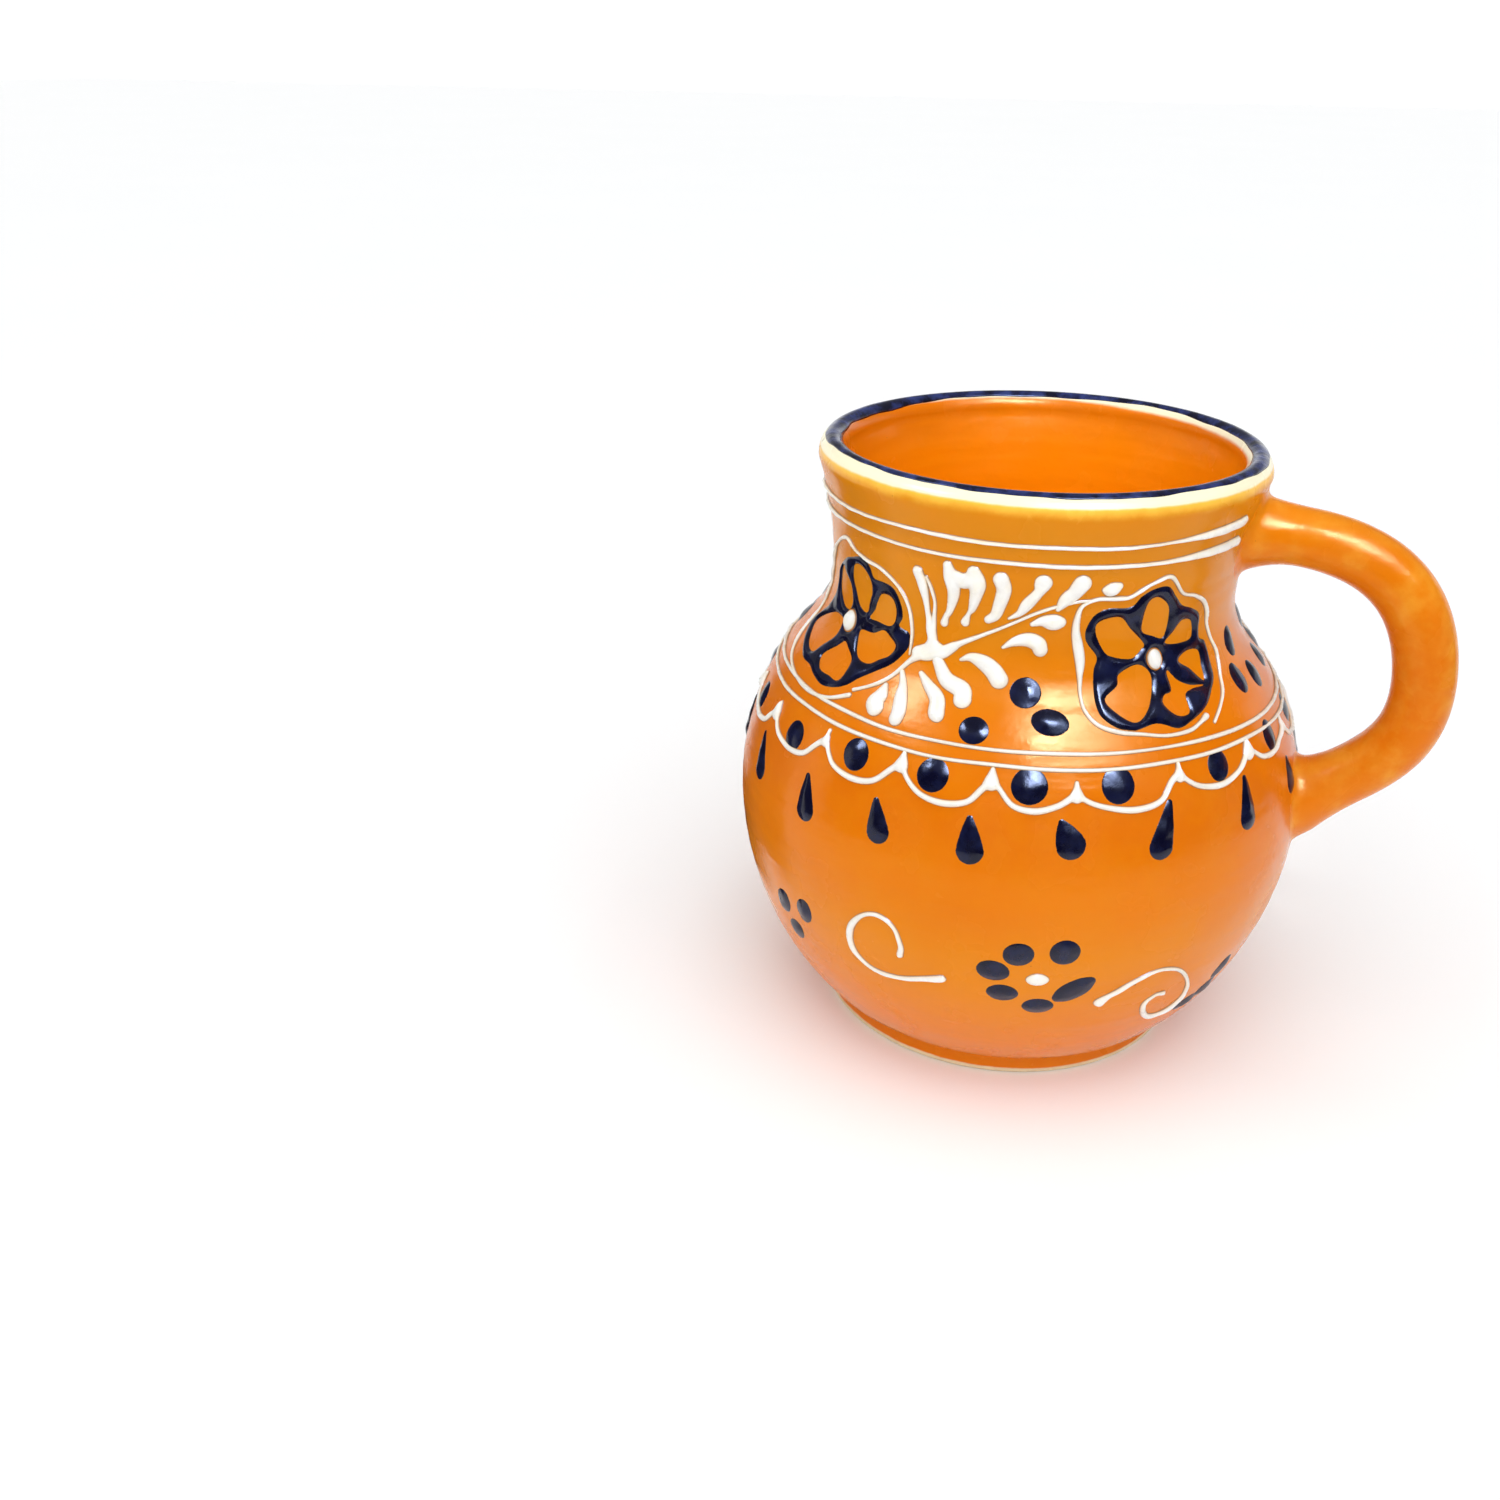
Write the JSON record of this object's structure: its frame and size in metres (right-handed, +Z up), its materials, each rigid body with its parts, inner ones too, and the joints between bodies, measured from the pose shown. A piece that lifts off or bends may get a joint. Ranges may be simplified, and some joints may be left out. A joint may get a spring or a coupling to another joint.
{
  "type": "mug",
  "caption": "Round-bellied glazed clay mug with a flared neck, a coil handle and raised slip ornament in white and cobalt.",
  "frame": {"origin": "on the pot's axis, in the plane that the foot ring stands on", "axes": "+Z up along the pot's axis, +X towards the handle, +Y to the left of the handle seen from behind it"},
  "size_m": [0.1133, 0.0942, 0.1],
  "materials": {
    "orange_glaze": "glossy",
    "cobalt_glaze": "glossy",
    "white_slip": "glossy"
  },
  "bodies": {
    "root": {"pot": "orange_glaze", "handle": "orange_glaze", "lip_band": "cobalt_glaze", "neck_lines": "white_slip", "shoulder_lines": "white_slip", "scallops": "white_slip", "scallop_dots": "cobalt_glaze", "teardrops": "cobalt_glaze", "flower_frames": "white_slip", "flower_petals": "cobalt_glaze", "flower_centres": "white_slip", "spray_stems": "white_slip", "spray_strokes": "white_slip", "shoulder_dots": "cobalt_glaze", "daisy_dots": "cobalt_glaze", "daisy_centres": "white_slip", "scrolls": "white_slip", "belly_dots": "cobalt_glaze"}
  },
  "joints": []
}
